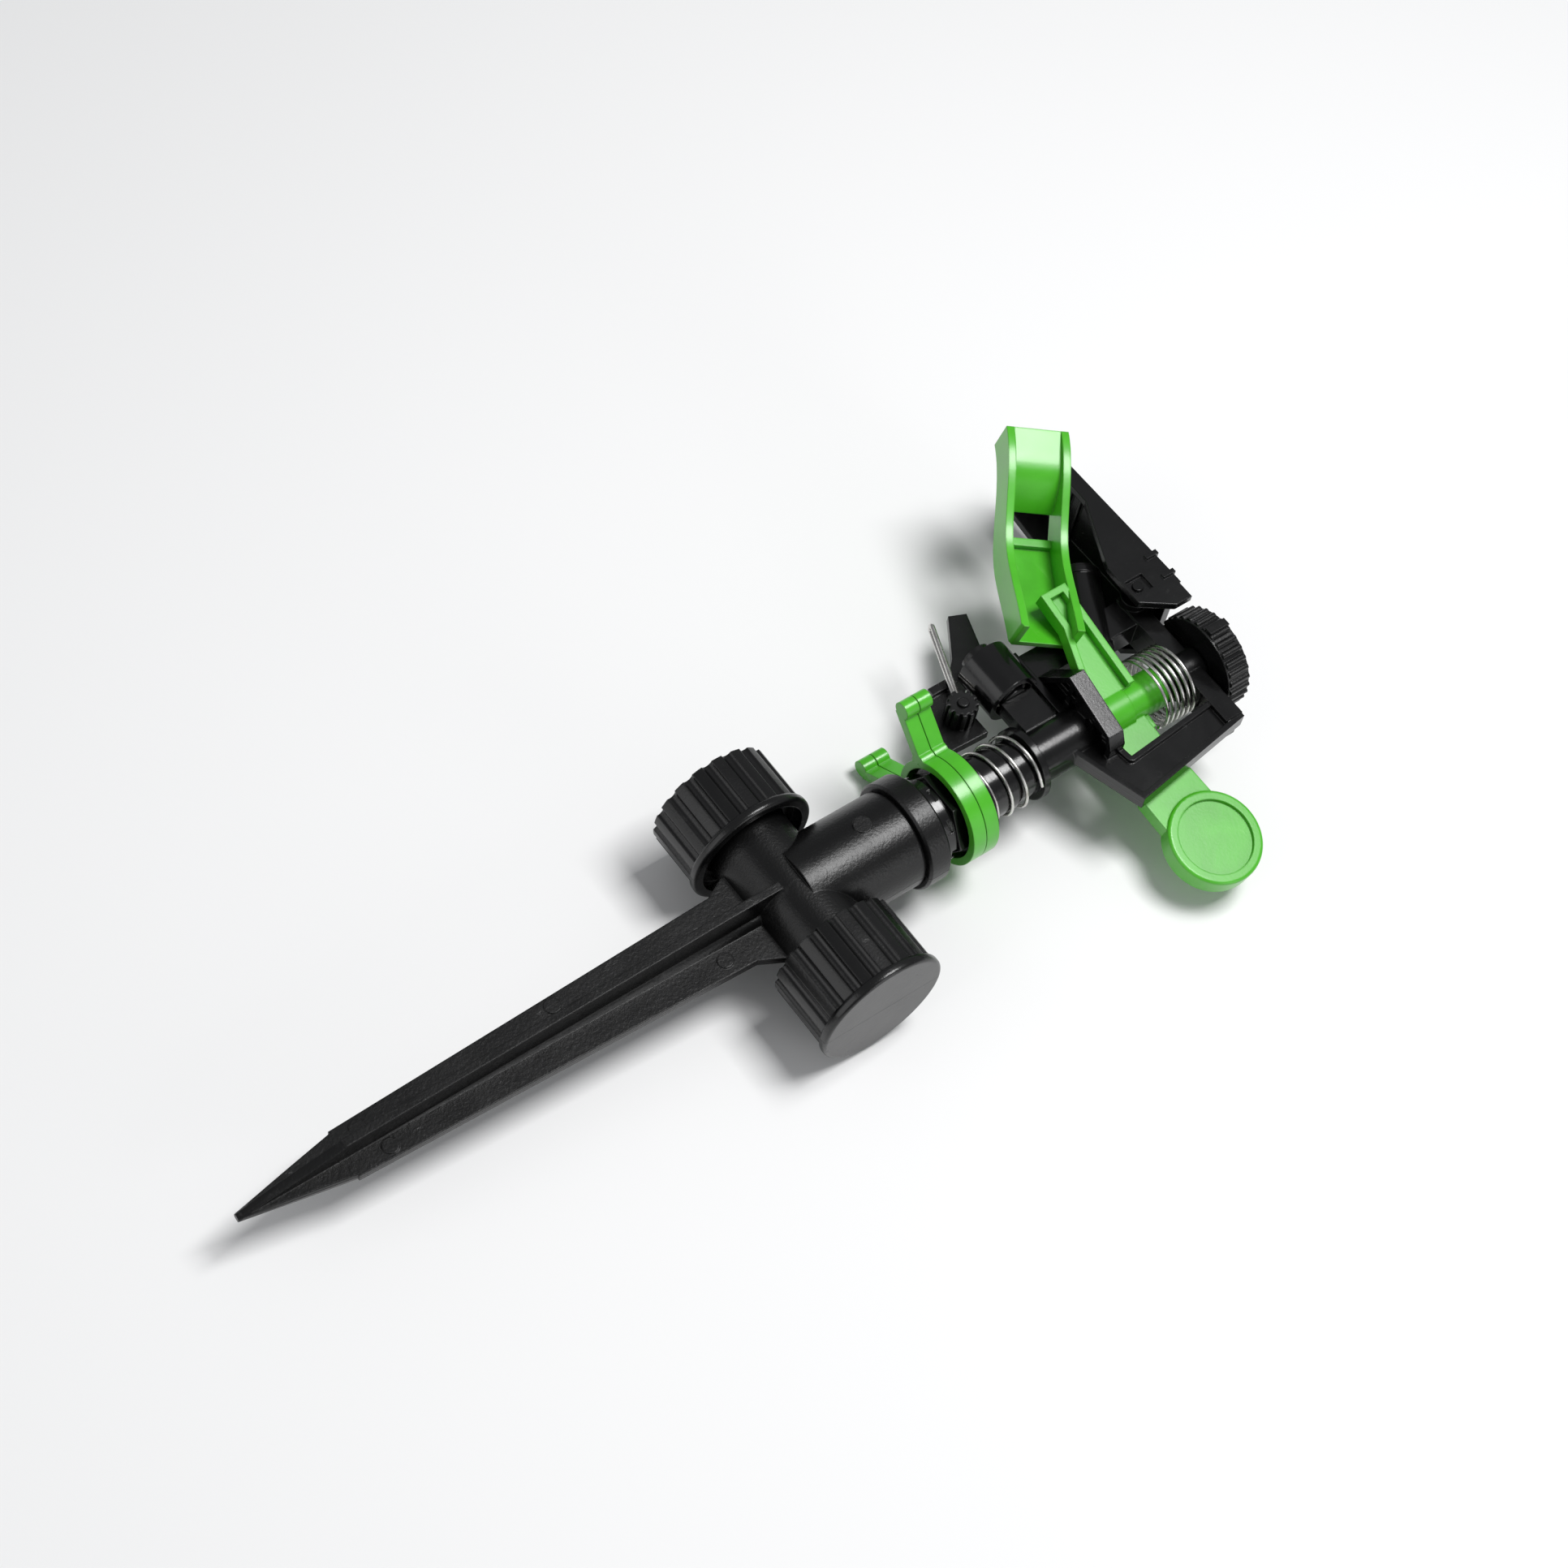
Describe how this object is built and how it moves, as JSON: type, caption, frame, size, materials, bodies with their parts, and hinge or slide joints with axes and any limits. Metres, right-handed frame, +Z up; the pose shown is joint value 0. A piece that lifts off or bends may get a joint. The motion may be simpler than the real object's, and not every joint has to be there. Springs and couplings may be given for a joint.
{
  "type": "impulse sprinkler on a spike",
  "caption": "Part-circle impulse garden sprinkler head on a plastic ground spike with a through hose line, swivel hose nut and end cap.",
  "frame": {"origin": "where the hose line crosses the spike axis, at the ground spike mount", "axes": "+Z up along the spike and riser, +X along the hose line towards the end cap; the nozzle throws towards -X at rest"},
  "size_m": [0.1371, 0.0477, 0.3123],
  "materials": {
    "black_plastic": "satin",
    "black_gloss_plastic": "gloss",
    "green_plastic": "gloss",
    "stainless_steel": "drawn wire",
    "black_rubber": "matte",
    "white_nylon": "satin"
  },
  "bodies": {
    "base": {"spike_body": "black_plastic", "hose_washer": "black_rubber", "bearing_nipple": "black_gloss_plastic", "nipple_gasket": "black_rubber"},
    "hose_nut": {"hose_nut": "black_plastic"},
    "end_cap": {"end_cap": "black_plastic", "end_cap_washer": "black_rubber"},
    "lower_clip": {"lower_stop_clip": "green_plastic"},
    "upper_clip": {"upper_stop_clip": "green_plastic"},
    "head": {"stem_tube": "black_gloss_plastic", "thrust_washers": "white_nylon", "spring_sleeve": "black_gloss_plastic", "stem_spring": "stainless_steel", "head_body": "black_gloss_plastic", "nozzle_tip": "black_gloss_plastic", "arm_axle": "stainless_steel", "arm_washer": "white_nylon", "spring_anchor": "black_gloss_plastic", "arm_spring": "stainless_steel", "flap_pin": "black_gloss_plastic", "knob_screw": "stainless_steel", "trip_barrel": "black_gloss_plastic", "trip_pin": "stainless_steel", "trip_plunger": "black_gloss_plastic", "trip_spring": "stainless_steel"},
    "arm": {"arm": "green_plastic"},
    "flap": {"flap": "black_gloss_plastic"},
    "knob": {"range_knob": "black_gloss_plastic"},
    "lever": {"trip_lever": "black_gloss_plastic", "wire_pivot": "black_gloss_plastic"},
    "wire": {"trip_wire": "stainless_steel", "trip_ratchet": "black_gloss_plastic"}
  },
  "joints": [
    {"name": "head_spin", "type": "hinge", "parent": "base", "child": "head", "pos_m": [0, 0, 0.05], "axis": [0, 0, 1], "continuous": true},
    {"name": "nut_swivel", "type": "hinge", "parent": "base", "child": "hose_nut", "pos_m": [-0.026, 0, 0], "axis": [1, 0, 0], "continuous": true},
    {"name": "end_cap_turn", "type": "hinge", "parent": "base", "child": "end_cap", "pos_m": [0.026, 0, 0], "axis": [1, 0, 0], "range_deg": [-90, 90]},
    {"name": "lower_clip_turn", "type": "hinge", "parent": "base", "child": "lower_clip", "pos_m": [0, 0, 0.05], "axis": [0, 0, 1], "continuous": true},
    {"name": "upper_clip_turn", "type": "hinge", "parent": "base", "child": "upper_clip", "pos_m": [0, 0, 0.053], "axis": [0, 0, 1], "continuous": true},
    {"name": "arm_swing", "type": "hinge", "parent": "head", "child": "arm", "pos_m": [0, 0, 0.11], "axis": [0, 0, 1], "range_deg": [0, 90], "stiffness_Nm_per_rad": 0.01, "springref_deg": -40.11, "deforming": ["arm_spring"]},
    {"name": "flap_tilt", "type": "hinge", "parent": "head", "child": "flap", "pos_m": [-0.0237, 0, 0.1348], "axis": [0, 1, 0], "range_deg": [-7, 0]},
    {"name": "knob_turn", "type": "hinge", "parent": "head", "child": "knob", "pos_m": [0, 0, 0.142], "axis": [0, 0, 1], "range_deg": [0, 120]},
    {"name": "trip_lever_swing", "type": "hinge", "parent": "head", "child": "lever", "pos_m": [-0.031, -0.004, 0.086], "axis": [1, 0, 0], "range_deg": [-10, 10]},
    {"name": "trip_wire_flip", "type": "hinge", "parent": "lever", "child": "wire", "pos_m": [-0.0215, 0, 0.0726], "axis": [0, 1, 0], "range_deg": [-111, 0]}
  ],
  "couplings": [
    {"joint": "flap_tilt", "follows": "knob_turn", "ratio": -0.058333}
  ]
}
